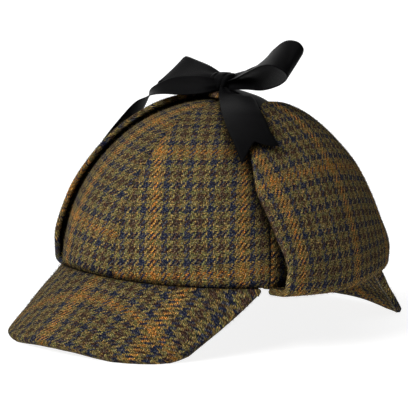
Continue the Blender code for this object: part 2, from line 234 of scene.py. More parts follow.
def colour(name, default, text):
    return bpy.props.FloatVectorProperty(name=name, description=text, default=default, size=3,
                                         min=0.0, max=1.0, subtype="COLOR")


def amount(name, default, text):
    return bpy.props.FloatProperty(name=name, description=text, default=default, min=0.0)


class HatSizes(bpy.types.PropertyGroup):
    """Sizes of the hat's body."""
    crown_length: length("Crown length", 0.2034, "Front to back over the cloth")
    crown_width: length("Crown width", (CROWN_HIGH - CROWN_LOW).x, "Side to side over the cloth")
    crown_height: length("Crown height", CROWN_HEIGHT, "Rim to top")
    crown_wall: length("Crown wall", 0.003, "Both layers of cloth together")
    inner_wall: length("Inner wall", 0.0008, "Thickness of the inner layer")
    seam_depth: length("Seam depth", 0.0006, "How far the seams between gores draw in")
    seam_width: length("Seam width", 0.0022, "Width of the groove along a seam")
    button_diameter: length("Button diameter", 0.022, "Covered button on top")
    button_height: length("Button height", 0.005, "Covered button's height")
    peak_thickness: length("Peak thickness", 0.0045, "Cloth and stiffener")
    peak_edge: length("Peak edge radius", 0.0013, "Rounding of a peak's edge")
    peak_drop: length("Peak drop", 0.0375, "Rim to a peak's lowest stretch")
    front_reach: length("Front peak reach", 0.0503, "Front peak's reach at its middle")
    rear_reach: length("Rear peak reach", 0.0443, "Rear peak's reach at its middle")
    flap_thickness: length("Flap thickness", 0.004, "Two layers of cloth")
    stand_left: length("Left flap stand-off", 0.0065, "Air under the left flap")
    stand_right: length("Right flap stand-off", 0.0045, "Air under the right flap")
    fold_radius: length("Fold radius", 0.0045, "Bend where a flap turns up")
    gap: length("Clearance", 0.0003, "Between pieces that touch")


class RibbonSizes(bpy.types.PropertyGroup):
    """Sizes of the ribbon and its bow."""
    width: length("Ribbon width", 0.022, "Width of the ribbon")
    thickness: length("Ribbon thickness", 0.0005, "Thickness of the ribbon")
    knot_length: length("Knot length", 0.0065, "Along X")
    knot_depth: length("Knot depth", 0.009, "Along Y")
    knot_height: length("Knot height", 0.010, "Along Z")
    knot_forward: length("Knot forward", 0.002, "How far the knot sits in front of the button's middle")
    rib_pitch: length("Rib pitch", 0.0006, "From one cross rib to the next")


class ClothLooks(bpy.types.PropertyGroup):
    """Colours and weave of the tweed."""
    ground: colour("Ground", (0.184, 0.144, 0.055), "Mustard ground")
    navy: colour("Navy", (0.020, 0.025, 0.055), "First check colour")
    brown: colour("Brown", (0.062, 0.036, 0.027), "Second check colour")
    rust: colour("Rust", (0.36, 0.170, 0.040), "Overcheck colour")
    warp_pitch: length("Warp pitch", 0.00080, "From one warp thread to the next")
    weft_pitch: length("Weft pitch", 0.000915, "From one weft thread to the next")
    fuzz_length: length("Fuzz length", 0.0016, "Length of a loose fibre")
    fuzz_density: amount("Fuzz density", 430000.0, "Loose fibres on a square metre")


class RibbonLooks(bpy.types.PropertyGroup):
    """Colours of the ribbon and of the crown's inside."""
    ribbon: colour("Ribbon", (0.0020, 0.0020, 0.0022), "Black ribbon")
    inner: colour("Inside", (0.030, 0.023, 0.015), "Dark plain cloth inside the crown")
    roughness: amount("Ribbon roughness", 0.42, "Roughness of the ribbon's face")


class StageLooks(bpy.types.PropertyGroup):
    """Floor, light and camera."""
    floor: colour("Floor", (0.36, 0.36, 0.36), "Pale floor")
    floor_glow: amount("Floor glow", 0.58, "Light that the pale floor gives off")
    key_strength: amount("Key light", 3.25, "Strength of the soft light from the front")
    fill_strength: amount("Fill light", 0.08, "Strength of the low light from the right")
    top_strength: amount("Top light", 0.4, "Strength of the soft light from above")
    surround: amount("Surround", 0.055, "Light from the white surround")
    card_strength: amount("Reflector", 2.2, "Strength of the white card that the ribbon reflects")
    camera_distance: length("Camera distance", 1.3, "From the hat's middle")


# Shapes
def follow(rows, shares):
    """Rows of a table at shares (0 to 1) of the way through it, by Catmull-Rom."""
    table = np.asarray(rows, float)
    last = len(table) - 1
    place = np.clip(np.asarray(shares, float), 0, 1) * last
    first = np.minimum(place.astype(int), last - 1)
    t = (place - first)[..., None]
    a, b, c, d = (table[np.clip(first + step, 0, last)] for step in (-1, 0, 1, 2))
    return 0.5 * (2 * b + (c - a) * t + (2 * a - 5 * b + 4 * c - d) * t ** 2
                  + (3 * b - a - 3 * c + d) * t ** 3)


def follow_to(rows, values):
    """Rows of a table where its first column reaches the values."""
    shares = np.linspace(0, 1, 2001)
    return follow(rows, np.interp(values, follow(rows, shares)[:, 0], shares))


def unit(vectors):
    return vectors / np.maximum(np.linalg.norm(vectors, axis=-1, keepdims=True), 1e-12)


def rounded(distance, radius, power=2.2):
    """Share of full thickness at a distance in from a rounded edge."""
    short = 1 - np.clip(distance / radius, 0, 1)
    return np.maximum(1 - short ** power, 0) ** (1 / power)


def edged_shares(total, step, radius):
    """Shares across a length, closer together near its two edges."""
    near = radius * np.array((0, 0.04, 0.14, 0.32, 0.6, 1.0))
    count = max(int(round((total - 2 * radius) / step)), 2)
    middle = np.linspace(radius, total - radius, count + 1)[1:-1]
    return np.concatenate((near, middle, total - near[::-1])) / total


def ripple(across, up, size, seed):
    """Gentle unevenness of sewn cloth."""
    total = 0
    for turn, reach, weight in ((0.3, 61, 0.5), (1.4, 97, 0.3), (2.6, 143, 0.2)):
        along = math.cos(turn + seed) * across + math.sin(turn + seed) * up
        total = total + weight * np.sin(reach * along + 7 * seed) * np.cos(
            0.6 * reach * (up - across) + 3 * seed + turn)
    return size * total


def cut_from_cloth(name, across, up):
    """Where points of a panel lie on the check cloth."""
    turn, stretch, shift_across, shift_up = CUTS[name]
    turned_across = across * math.cos(turn) + up * math.sin(turn)
    turned_up = up * math.cos(turn) - across * math.sin(turn)
    return np.stack((turned_across * stretch + shift_across, turned_up + shift_up), -1)


def placed(name, data):
    """A new object in the scene for a mesh, a light or a camera."""
    made = bpy.data.objects.new(name, data)
    bpy.context.scene.collection.objects.link(made)
    return made


def mesh_object(name, points, faces, corners, material):
    """Smooth mesh with its place on the cloth kept as a UV map."""
    mesh = bpy.data.meshes.new(name)
    mesh.from_pydata(np.asarray(points).tolist(), [], faces)
    layer = mesh.uv_layers.new(name="Weave")
    layer.data.foreach_set("uv", np.asarray(corners, np.float32).ravel())
    mesh.polygons.foreach_set("use_smooth", np.ones(len(mesh.polygons), bool))
    mesh.materials.append(material)
    mesh.update()
    return placed(name, mesh)


def quads(number, closed=False):
    """Quads between the rows and columns of a grid of vertex numbers."""
    if closed:
        number = np.concatenate((number, number[:, :1]), axis=1)
    return np.stack((number[:-1, :-1], number[:-1, 1:], number[1:, 1:], number[1:, :-1]),
                    -1).reshape(-1, 4)


def end_fans(number, first, last):
    """Triangles from the first and last ring of a grid to a vertex in the middle of each."""
    fans = []
    for centre, ring, turned in ((first, number[0], True), (last, number[-1], False)):
        for a, b in zip(ring.tolist(), np.roll(ring, -1).tolist()):
            fans.append([centre, b, a] if turned else [centre, a, b])
    return fans


def wrapped(cloth, layer, middle, half):
    """Where a layer's points lie on the check cloth, with the cloth carried round the rounded edges."""
    edge = half < 0.98 * half.max()
    for axis in (0, 1):
        longer = np.linalg.norm(np.diff(layer, axis=axis), axis=-1) - np.linalg.norm(
            np.diff(middle, axis=axis), axis=-1)
        near_edge = np.delete(edge, 0, axis) | np.delete(edge, -1, axis)
        extra = np.cumsum(longer * near_edge, axis=axis)
        extra = np.concatenate((np.zeros_like(np.take(extra, [0], axis)), extra), axis=axis)
        extra = extra - np.take(extra, [extra.shape[axis] // 2], axis)
        ahead = np.gradient(cloth, axis=axis)
        ahead = ahead / np.maximum(np.linalg.norm(ahead, axis=-1, keepdims=True), 1e-9)
        cloth = cloth + extra[..., None] * ahead
    return cloth


def closed_sheet(name, middle, half, cloth, material, flip=False):
    """Cloth with a front and a back either side of a middle layer, joined at its border."""
    rows, columns = middle.shape[:2]
    face = unit(np.cross(unit(np.gradient(middle, axis=0)), unit(np.gradient(middle, axis=1))))
    if flip:
        face = -face
    front = middle + face * half[..., None]
    back = middle - face * half[..., None]
    within = np.zeros((rows, columns), bool)
    within[1:-1, 1:-1] = True
    front_number = np.arange(rows * columns).reshape(rows, columns)
    back_number = front_number.copy()
    back_number[within] = rows * columns + np.arange(within.sum())
    points = np.concatenate((front.reshape(-1, 3), back[within]))
    front_cloth = wrapped(cloth, front, middle, half)
    back_cloth = wrapped(cloth, back, middle, half)
    places = np.concatenate((front_cloth.reshape(-1, 2), back_cloth[within]))
    back_places = np.concatenate((back_cloth.reshape(-1, 2), back_cloth[within]))
    front_faces = quads(front_number)
    back_faces = quads(back_number)
    if flip:
        back_faces = back_faces[:, ::-1]
    else:
        front_faces = front_faces[:, ::-1]
    faces = np.concatenate((front_faces, back_faces))
    corners = np.concatenate((places[front_faces], back_places[back_faces]))
    return mesh_object(name, points, faces.tolist(), corners, material)


def share_past(values, start, width):
    """How far values are past a start: 0 up to it, 1 from a width further on."""
    return np.clip((values - start) / width, 0, 1)


def settle_rim(piece):
    """Lift the rim, folds and seams behind the ears and lower them at the right temple."""
    points = np.array([vert.co for vert in piece.data.vertices]) - RIM_ARRAY
    x, y, z = points.T
    rear = share_past(y, -0.020, 0.095)
    low = share_past(-z, -0.040, 0.034)
    high = share_past(z, -0.020, 0.015)
    lift = REAR_LIFT * np.prod([share * share * (3 - 2 * share) for share in (rear, low, high)], axis=0)
    temple = share_past(-x, 0.030, 0.035) * np.exp(-((y + 0.060) / 0.034) ** 2)
    points[:, 2] += lift - TEMPLE_DROP * temple * low * high
    piece.data.vertices.foreach_set("co", (points + RIM_ARRAY).astype(np.float32).ravel())
    piece.data.update()


def dress(piece, nodes=(), settled=False):
    """Make a piece ride on the hat and stand for its CAD nodes."""
    if not settled:
        settle_rim(piece)
    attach(piece, "root")
    for node in nodes:
        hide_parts(node)


def over_crown(sizes, roll, across, away):
    """Points over the crown's side: roll degrees up, across along Y, away off the cloth."""
    half_length = sizes.crown_length / 2 + away
    waist = np.sqrt(np.maximum(1 - (across / half_length) ** 2, 0))
    angle = np.radians(roll)
    return np.stack((
        (sizes.crown_width / 2 + away) * np.cos(angle) * waist,
        across + 0 * angle,
        (sizes.crown_height + away) * np.sin(angle) * waist,
    ), -1)


def dome_point(sizes, turn, rise, away):
    """Points on the crown's dome: turn round from the front, rise up from the rim (radians)."""
    return np.stack((
        (sizes.crown_width / 2 + away) * np.sin(turn) * np.cos(rise),
        -(sizes.crown_length / 2 + away) * np.cos(turn) * np.cos(rise),
        (sizes.crown_height + away) * np.sin(rise) + 0 * turn,
    ), -1)


def gore_turns(sizes, step):
    """Turns round the crown for one gore, closer together at its seams."""
    total = GORE_TURN * sizes.crown_width / 2
    return edged_shares(total, step, sizes.seam_width)[:-1] * GORE_TURN


def dome_rings(sizes, turns, rises, outer, inner, seam_depth):
    """Rings of points down the dome's outer face and up its inner one."""
    from_seam = np.abs((turns + GORE_TURN / 2) % GORE_TURN - GORE_TURN / 2)
    rings = []
    for away, order in ((outer, slice(None, None, -1)), (inner, slice(None))):
        for rise in rises[order]:
            arc = from_seam * sizes.crown_width / 2 * math.cos(rise)
            groove = np.exp(-(arc / (sizes.seam_width / 2)) ** 2) * seam_depth
            gore_half = GORE_TURN / 2 * sizes.crown_width / 2 * math.cos(rise)
            puff = GORE_PUFF * np.sin(np.clip(arc / max(gore_half, 1e-6), 0, 1) * math.pi / 2)
            ring = dome_point(sizes, turns, rise, away)
            outward = unit(dome_point(sizes, turns, rise, away + 0.001) - ring)
            uneven = ripple(turns * 0.09, rise * 0.098, 0.0005, 0.7) * math.cos(rise)
            hem = -HEM_DEPTH * math.exp(-(rise / HEM_RISE) ** 2) if away == outer else 0.0
            shift = (puff + uneven - groove - FACE_INSET) * (away == outer) + hem
            if rise == 0:
                ring[:, 2] -= FACE_INSET
            rings.append(ring + outward * shift[:, None])
    return np.array(rings)


def dome_cloth(sizes, panels, turns, rises):
    """On the cloth: arc from the gore's middle line, and arc up from the rim."""
    spread = np.hypot(sizes.crown_width / 2 * np.cos(turns), sizes.crown_length / 2 * np.sin(turns))
    across = (turns - (panels + 0.5) * 2 * math.pi / GORES) * spread * np.cos(rises)
    mean_half = 0.5 * (sizes.crown_length + sizes.crown_width) / 2
    up = rises * 0.5 * (sizes.crown_height + mean_half)
    out = np.zeros((*across.shape, 2))
    for gore in range(GORES):
        chosen = panels == gore
        out[chosen] = cut_from_cloth("gore_%d" % gore, across[chosen], up[chosen])
    return out


def make_dome(name, sizes, outer, inner, step, seam_depth, material):
    """A six-gore dome between two offsets from the crown's face, closed round its rim."""
    gore = gore_turns(sizes, step)
    turns = np.concatenate([gore + GORE_TURN * k for k in range(GORES)])
    rises = np.radians(np.concatenate((np.array((0, 0.25, 0.6, 1.1)), np.linspace(2, 88.5, 62))))
    rings = dome_rings(sizes, turns, rises, outer, inner, seam_depth)
    bands, columns = len(rings) - 1, len(turns)
    number = np.arange(len(rings) * columns).reshape(-1, columns)
    ends = [ring.mean(0) + (0, 0, 0.00005) for ring in (rings[0], rings[-1])]
    points = np.concatenate((rings.reshape(-1, 3), ends))
    row = np.repeat(np.arange(bands), columns)
    column = np.tile(np.arange(columns), bands)
    next_turn = np.append(turns[1:], 2 * math.pi)
    turn_corners = np.stack((turns[column], next_turn[column], next_turn[column], turns[column]), -1)
    rise_of = np.concatenate((rises[::-1], rises))
    rise_corners = np.stack((rise_of[row], rise_of[row], rise_of[row + 1], rise_of[row + 1]), -1)
    panels = np.repeat(column // len(gore), 4).reshape(-1, 4)
    corners = dome_cloth(sizes, panels, turn_corners, rise_corners)
    end_corners = np.repeat(corners[:columns, :1], 3, axis=1).reshape(-1, 2)
    faces = quads(number, closed=True).tolist() + end_fans(number, len(points) - 2, len(points) - 1)
    places = np.concatenate((corners.reshape(-1, 2), end_corners, end_corners))
    return outward_faces(mesh_object(name, points + RIM_ARRAY, faces, places, material))


def outward_faces(piece):
    """Turn a closed piece's faces outward if they point in."""
    mesh = piece.data
    mesh.calc_loop_triangles()
    points = np.array([vert.co for vert in mesh.vertices])
    corners = np.array([triangle.vertices for triangle in mesh.loop_triangles])
    a, b, c = (points[corners[:, k]] for k in range(3))
    if np.einsum("ij,ij->i", a, np.cross(b, c)).sum() < 0:
        mesh.flip_normals()
        mesh.update()
    return piece


def peak_layer(sizes, direction, span, reach, rows, sides, shares):
    """Middle layer of a peak: rows run outward from under the rim, columns from side to side."""
    start_z = -(sizes.gap + sizes.peak_thickness / 2) - SEAM_CLEARANCE
    table = follow_to(rows, np.abs(sides))
    seam = np.radians(span) * sides
    ahead = np.radians(table[:, 2]) * np.sign(sides)
    lines = []
    for inset in (sizes.crown_wall, SEAM_ALLOWANCE):
        lines.append(np.stack((
            (sizes.crown_width / 2 - inset) * np.sin(seam),
            (sizes.crown_length / 2 - inset) * np.cos(seam) * direction,
            np.full_like(seam, start_z)), -1))
    edge = lines[0] + np.stack((
        reach * table[:, 1] * np.sin(ahead),
        reach * table[:, 1] * np.cos(ahead) * direction,
        -sizes.peak_drop * table[:, 3] - start_z), -1)
    step = sizes.crown_wall - SEAM_ALLOWANCE
    total = reach + step
    grid = []
    for share in shares:
        distance = share * total
        if distance <= step:
            grid.append(lines[0] + (lines[1] - lines[0]) * distance / step)
        else:
            part = (distance - step) / reach
            line = lines[1] + (edge - lines[1]) * part
            line[:, 2] -= 4 * part * (1 - part) * table[:, 4] * sizes.peak_drop
            grid.append(line)
    return np.array(grid)


def make_peak(name, sizes, direction, span, reach, rows, material):
    """A stiffened peak with square-sewn, slightly rounded edges."""
    width = 2 * np.radians(span) * RIM_RADIUS
    total = reach + UNDER_RIM
    sides = 2 * edged_shares(width, 0.0013, sizes.peak_edge) - 1
    shares = edged_shares(total, 0.0012, sizes.peak_edge)
    middle = peak_layer(sizes, direction, span, reach, rows, sides, shares)
    from_side = (1 - np.abs(sides)) * width / 2
    root = (shares > 0).astype(float)
    half = sizes.peak_thickness / 2 * rounded(from_side, sizes.peak_edge)[None, :] * (
        root * rounded((1 - shares) * total, sizes.peak_edge))[:, None]
    across = middle[..., 0]
    out = np.abs(middle[..., 1]) - sizes.crown_length / 2 * 0.5
    soft = ripple(across, out, 0.0004, 1.3 + direction)
    middle[..., 2] += soft * np.clip(shares[:, None] * 4 - 0.4, 0, 1)
    cloth = cut_from_cloth(name, across, -1.2 * out)
    middle = middle + RIM_ARRAY
    peak = closed_sheet(name + "_cloth", middle, half, cloth, material, flip=direction > 0)
    outward_faces(peak)
    points = np.array([vert.co for vert in peak.data.vertices])
    points[:, 2] = np.maximum(points[:, 2], 0.0001)
    peak.data.vertices.foreach_set("co", points.astype(np.float32).ravel())
    peak.data.update()
    return peak, middle, half


def make_welt(name, middle, half, radius, material):
    """A thin welt along the lower corner of a peak's free edge."""
    inset = 4
    rows, columns = middle.shape[:2]
    path = [(row, inset) for row in range(5, rows - inset)]
    path += [(rows - 1 - inset, column) for column in range(inset, columns - inset)]
    path += [(row, columns - 1 - inset) for row in range(rows - 1 - inset, 4, -1)]
    path = np.array(path)
    down = unit(np.cross(unit(np.gradient(middle, axis=0)), unit(np.gradient(middle, axis=1))))
    down = np.where(down[..., 2:] > 0, -down, down)
    line = (middle + down * (half + 0.2 * radius)[..., None])[path[:, 0], path[:, 1]]
    line[:, 2] = np.maximum(line[:, 2], radius + 0.0001)
    ahead = unit(np.gradient(line, axis=0))
    side = unit(np.cross(ahead, (0, 0, 1.0)))
    over = np.cross(side, ahead)
    turns = np.linspace(0, 2 * math.pi, 9)[:-1]
    rings = line[:, None] + radius * (np.cos(turns)[None, :, None] * side[:, None]
                                      + np.sin(turns)[None, :, None] * over[:, None])
    return ring_piece(name, rings, material)


def flap_layer(sizes, stand, rolls, shares, above=0.0):
    """Middle layer of a flap at rolls (rows) and shares across it (columns), on the left side."""
    table = follow_to(FLAP_ROWS, rolls)
    half_length = sizes.crown_length / 2
    front, rear = table[:, 1:2], table[:, 2:3]
    across = half_length * (front + (rear - front) * shares)
    bow = 4 * shares * (1 - shares)
    edge_gap = table[:, 3:4] + (table[:, 5:6] - table[:, 3:4]) * shares
    middle_gap = table[:, 4:5] - (table[:, 3:4] + table[:, 5:6]) / 2
    air = stand * (edge_gap + middle_gap * bow)
    away = air + sizes.flap_thickness / 2 + above
    return over_crown(sizes, np.asarray(rolls)[:, None] + 0 * across, across, away)


def make_flap(name, sizes, side, stand, material):
    """An ear flap: out from under the rim, round its fold and up over the crown."""
    fold_z = -(sizes.gap + sizes.flap_thickness / 2) - SEAM_CLEARANCE
    first_roll, last_roll = 3.0, FLAP_ROWS[-1][0]
    shares = edged_shares(0.11, 0.0016, sizes.flap_thickness * 0.5)[None, :]
    upright = flap_layer(sizes, stand, [first_roll], shares)[0]
    tangent = upright.copy()
    tangent[:, 2] = fold_z
    inner = upright.copy()
    inner_half = sizes.crown_width / 2 - sizes.crown_wall / 2
    inner[:, 0] = inner_half * np.sqrt(
        1 - (upright[:, 1] / (sizes.crown_length / 2 - sizes.crown_wall / 2)) ** 2)
    inner[:, 2] = fold_z
    rows = []
    start = tangent - np.array((sizes.fold_radius, 0, 0))
    for share in (0, 0.03, 0.1, 0.3, 0.6):
        rows.append(inner + (start - inner) * share)
    for turn in np.linspace(0, math.pi / 2, 9):
        rows.append(tangent + np.array((
            -sizes.fold_radius * (1 - math.sin(turn)), 0, sizes.fold_radius * (1 - math.cos(turn)))))
    tip = sizes.flap_thickness * 0.5
    rise = edged_shares(0.118, 0.0016, tip)
    rise = rise[np.argmax(rise > 0.03):]
    rolls = first_roll + (last_roll - first_roll) * rise
    rows.extend(flap_layer(sizes, stand, rolls, shares))
    middle = np.array(rows)
    width = np.linalg.norm(np.diff(middle, axis=1), axis=-1).sum(1)
    from_side = np.minimum(shares, 1 - shares) * width[:, None]
    step = np.linalg.norm(np.diff(middle, axis=0), axis=-1)
    run = np.concatenate((np.zeros((1, middle.shape[1])), np.cumsum(step, axis=0)))
    from_end = np.where(run > 0, run[-1:] - run, 0)
    half = sizes.flap_thickness / 2 * rounded(from_side, tip) * rounded(from_end, tip)
    centre = np.argmin(np.abs(middle[len(middle) // 2, :, 1]))
    across_step = np.linalg.norm(np.diff(middle, axis=1), axis=-1)
    across = np.concatenate((np.zeros((len(middle), 1)), np.cumsum(across_step, axis=1)), axis=1)
    nearest = np.abs(middle[..., 1]).argmin(1)
    across = across - across[np.arange(len(middle)), nearest][:, None]
    zero = np.argmax(middle[:, centre, 2] > 0)
    up = (run[:, centre] - run[zero, centre])[:, None] + 0 * across
    cloth = cut_from_cloth(name, across, up)
    soft = ripple(across, up, 0.0007, 2.1 + side) * rounded(from_side, 0.012) * rounded(
        np.minimum(run, run[-1:] - run), 0.012)
    middle = middle + unit(middle) * soft[..., None]
    middle[..., 0] *= side
    middle = middle + RIM_ARRAY
    flap = closed_sheet(name + "_cloth", middle, half, cloth, material, flip=side > 0)
    return outward_faces(flap)


def knot_anchors(sizes, ribbon):
    """The knot's middle, its left and right sides and its front."""
    base = sizes.crown_height + sizes.gap + sizes.button_height + sizes.gap
    middle = Vector((0, -ribbon.knot_forward, base + ribbon.knot_height / 2))
    side = Vector((ribbon.knot_length / 2 + sizes.gap, 0, 0))
    front = Vector((0, ribbon.knot_depth / 2 + sizes.gap + 0.0005, 0))
    return middle + RIM, middle + side + RIM, middle - side + RIM, middle - front + RIM


def ribbon_piece(name, ribbon, anchor, sections, rows, material, notch=0.0, cup=0.0, pleat=0.0,
                 both_ends=True):
    """A ribbon through sections, gathered where it enters the knot."""
    columns = 21
    across = np.linspace(0, 1, columns)[None, :]
    run = np.linspace(0, 1, rows)[:, None]
    middle_line = follow(sections, np.linspace(0, 1, 400))
    centre = (middle_line[:, :3] + middle_line[:, 3:]) / 2 * ribbon.width
    total = np.linalg.norm(np.diff(centre, axis=0), axis=1).sum()
    shares = run + 0 * across
    if notch:
        drawn_back = notch * ribbon.width / total * (1 - np.abs(2 * across - 1))
        shares = shares * (1 - drawn_back * np.clip(run * 2 - 1, 0, 1))
    table = follow(sections, shares) * ribbon.width
    grid = table[..., :3] * (1 - across[..., None]) + table[..., 3:] * across[..., None]
    grid = grid + np.array(anchor)
    face = unit(np.cross(unit(np.gradient(grid, axis=0)), unit(np.gradient(grid, axis=1))))
    near_knot = shares if not both_ends else np.minimum(shares, 1 - shares)
    gathered = np.exp(-(near_knot * total / (0.45 * ribbon.width)) ** 2)
    bend = cup * ribbon.width * (1 - (2 * across - 1) ** 2) * (1 - gathered) * np.clip(
        near_knot * total / ribbon.width, 0, 1)
    folds = pleat * np.sin(across * 3 * math.pi + 0.6) * gathered
    grid = grid + face * (bend + folds)[..., None]
    edge = np.minimum(across, 1 - across) * ribbon.width
    half = ribbon.thickness / 2 * rounded(edge, 0.0006) * (1 + 0.5 * np.exp(-(edge / 0.001) ** 2))
    half = half + 0 * run
    half[0] = half[-1] = 0
    cloth = np.stack((across * ribbon.width + 0 * run, shares * total), -1)
    piece = closed_sheet(name, grid, half, cloth, material)
    return outward_faces(piece), total


def tie_piece(name, sizes, ribbon, side, stand, knot_side, material):
    """A tie ribbon sewn inside a flap's tip, which runs up to the knot."""
    below = -(sizes.flap_thickness + 0.001) / 2 - 2 * sizes.gap
    across = np.linspace(-1, 1, 15)
    half_width = TIE_ROWS[0][2] * ribbon.width
    lengths = TIE_MIDDLE * sizes.crown_length / 2 + half_width * across
    grid = []
    for roll in np.linspace(TIE_SEWN_ROLLS[0], TIE_SEWN_ROLLS[-1], 10):
        table = follow_to(FLAP_ROWS, [roll])[0]
        shares = (lengths / (sizes.crown_length / 2) - table[1]) / (table[2] - table[1])
        row = flap_layer(sizes, stand, [roll], shares[None, :], below)[0]
        row[:, 0] *= side
        grid.append(row + RIM_ARRAY)
    tip = grid[-1]
    centre_tip = tip[len(tip) // 2]
    end = np.array(knot_side) - np.array((0, 0, TIE_END_DROP * ribbon.width))
    for share in np.linspace(0, 1, 25)[1:]:
        along, lift, narrowed = follow(TIE_ROWS, [share])[0]
        centre = centre_tip + (end - centre_tip) * along + np.array((0, 0, lift * ribbon.width))
        grid.append(centre + (tip - centre_tip) * narrowed / TIE_ROWS[0][2])
    grid = np.array(grid)
    run = np.concatenate(([0], np.cumsum(np.linalg.norm(np.diff(grid[:, 7], axis=0), axis=1))))
    half = np.full(grid.shape[:2], ribbon.thickness / 2)
    cloth = np.stack(((across[None, :] * half_width + 0 * run[:, None]), run[:, None] + 0 * across), -1)
    half[[0, -1], :] = 0
    half[:, [0, -1]] = 0
    piece = closed_sheet(name, grid, half, cloth, material)
    return outward_faces(piece), run[-1]


def ring_piece(name, rings, material):
    """Closed body through rings of points, its two ends drawn to their middles."""
    rows, columns = rings.shape[:2]
    number = np.arange(rows * columns).reshape(rows, columns)
    points = np.concatenate((rings.reshape(-1, 3), [rings[0].mean(0), rings[-1].mean(0)]))
    step = np.linalg.norm(np.diff(rings, axis=0), axis=-1).mean(1)
    along = np.concatenate(([0], np.cumsum(step)))
    girth = np.linalg.norm(np.diff(rings[rows // 2], axis=0), axis=-1).sum()
    corners = []
    for row in range(rows - 1):
        for column in range(columns):
            low, high = column / columns * girth, (column + 1) / columns * girth
            corners.extend(((low, along[row]), (high, along[row]), (high, along[row + 1]),
                            (low, along[row + 1])))
    for row in (0, rows - 1):
        for column in range(columns):
            corners.extend(((column / columns * girth, along[row]),) * 3)
    faces = quads(number, closed=True).tolist() + end_fans(number, rows * columns, rows * columns + 1)
    return outward_faces(mesh_object(name, points, faces, corners, material))


def add_node(tree, kind, inputs=(), **settings):
    """A node with its settings; a value or another node's socket goes into each input."""
    made = tree.nodes.new(kind)
    for key, value in settings.items():
        setattr(made, key, value)
    for key, value in dict(inputs).items():
        if isinstance(value, bpy.types.NodeSocket):
            tree.links.new(value, made.inputs[key])
        else:
            made.inputs[key].default_value = value
    return made


def calculate(tree, operation, *values):
    """A Math node; a number or a socket goes into each of its inputs."""
    return add_node(tree, "ShaderNodeMath", dict(enumerate(values)), operation=operation).outputs[0]


def vector_math(tree, operation, inputs):
    """A Vector Math node's vector."""
    return add_node(tree, "ShaderNodeVectorMath", inputs, operation=operation).outputs[0]


def parts(tree, vector):
    """The X, Y and Z of a vector."""
    return add_node(tree, "ShaderNodeSeparateXYZ", {0: vector}).outputs


def mixed(tree, factor, first, second, blend="MIX"):
    """A colour mix of two sockets or colours."""
    first, second = ((*shade, 1) if isinstance(shade, tuple) else shade for shade in (first, second))
    return add_node(tree, "ShaderNodeMix", {0: factor, 6: first, 7: second}, data_type="RGBA",
                    blend_type=blend).outputs[2]


def noise(tree, vector, scale, detail=2.0):
    """A Noise node; its Fac and its Color are the two results."""
    return add_node(tree, "ShaderNodeTexNoise", {
        "Scale": scale, "Detail": detail, "Vector": vector}).outputs


def tones(tree, place, stops, interpolation="LINEAR"):
    """Colours along a place from 0 to 1, from stops of (position, colour)."""
    made = add_node(tree, "ShaderNodeValToRGB", {0: place})
    made.color_ramp.interpolation = interpolation
    elements = made.color_ramp.elements
    for element, (position, shade) in zip(elements, (stops[0], stops[-1])):
        element.position = position
        element.color = (*shade, 1)
    for position, shade in stops[1:-1]:
        elements.new(position).color = (*shade, 1)
    return made.outputs[0]


def stripes(tree, place, colours):
    """Constant colour stripes of one width over one repeat."""
    return tones(tree, place, [(index / len(colours), shade) for index, shade in enumerate(colours)],
                 "CONSTANT")


def bumped(tree, shader, relief, strength, distance):
    """Give a shader's surface a relief."""
    bump = add_node(tree, "ShaderNodeBump", {
        "Strength": strength, "Distance": distance, "Height": relief})
    tree.links.new(bump.outputs[0], shader.inputs["Normal"])


def cloth_shader(name):
    """A material with its Principled shader and the cloth's own UV map."""
    material = bpy.data.materials.new(name)
    material.use_nodes = True
    tree = material.node_tree
    shader = tree.nodes["Principled BSDF"]
    place = add_node(tree, "ShaderNodeUVMap", uv_map="Weave").outputs[0]
    return material, tree, shader, place


def thread_colour(tree, thread, colours):
    """Colour of a warp or weft thread by its number in the check's repeat of 4 to a stripe."""
    repeat = 4.0 * len(colours)
    middle = calculate(tree, "ADD", thread, 0.5)
    return stripes(tree, calculate(tree, "FRACT", calculate(tree, "DIVIDE", middle, repeat)), colours)


def painted_nook_shade(tree):
    """Painted shade: colour darkened in folds and under edges by ambient occlusion, eased where the
    peaks stand on the floor.
    """
    nook = add_node(tree, "ShaderNodeAmbientOcclusion", {"Distance": 0.016}, samples=6)
    shade = calculate(tree, "MINIMUM", calculate(tree, "POWER", nook.outputs["AO"], 2.0), 0.82)
    height = parts(tree, add_node(tree, "ShaderNodeTexCoord").outputs["Object"])[2]
    standing = calculate(tree, "MULTIPLY_ADD", height, -1 / 0.020, 1.1)
    standing = calculate(tree, "MINIMUM", calculate(tree, "MAXIMUM", standing, 0.0), 1.0)
    return calculate(tree, "MAXIMUM", shade, calculate(tree, "MULTIPLY", standing, 0.78))


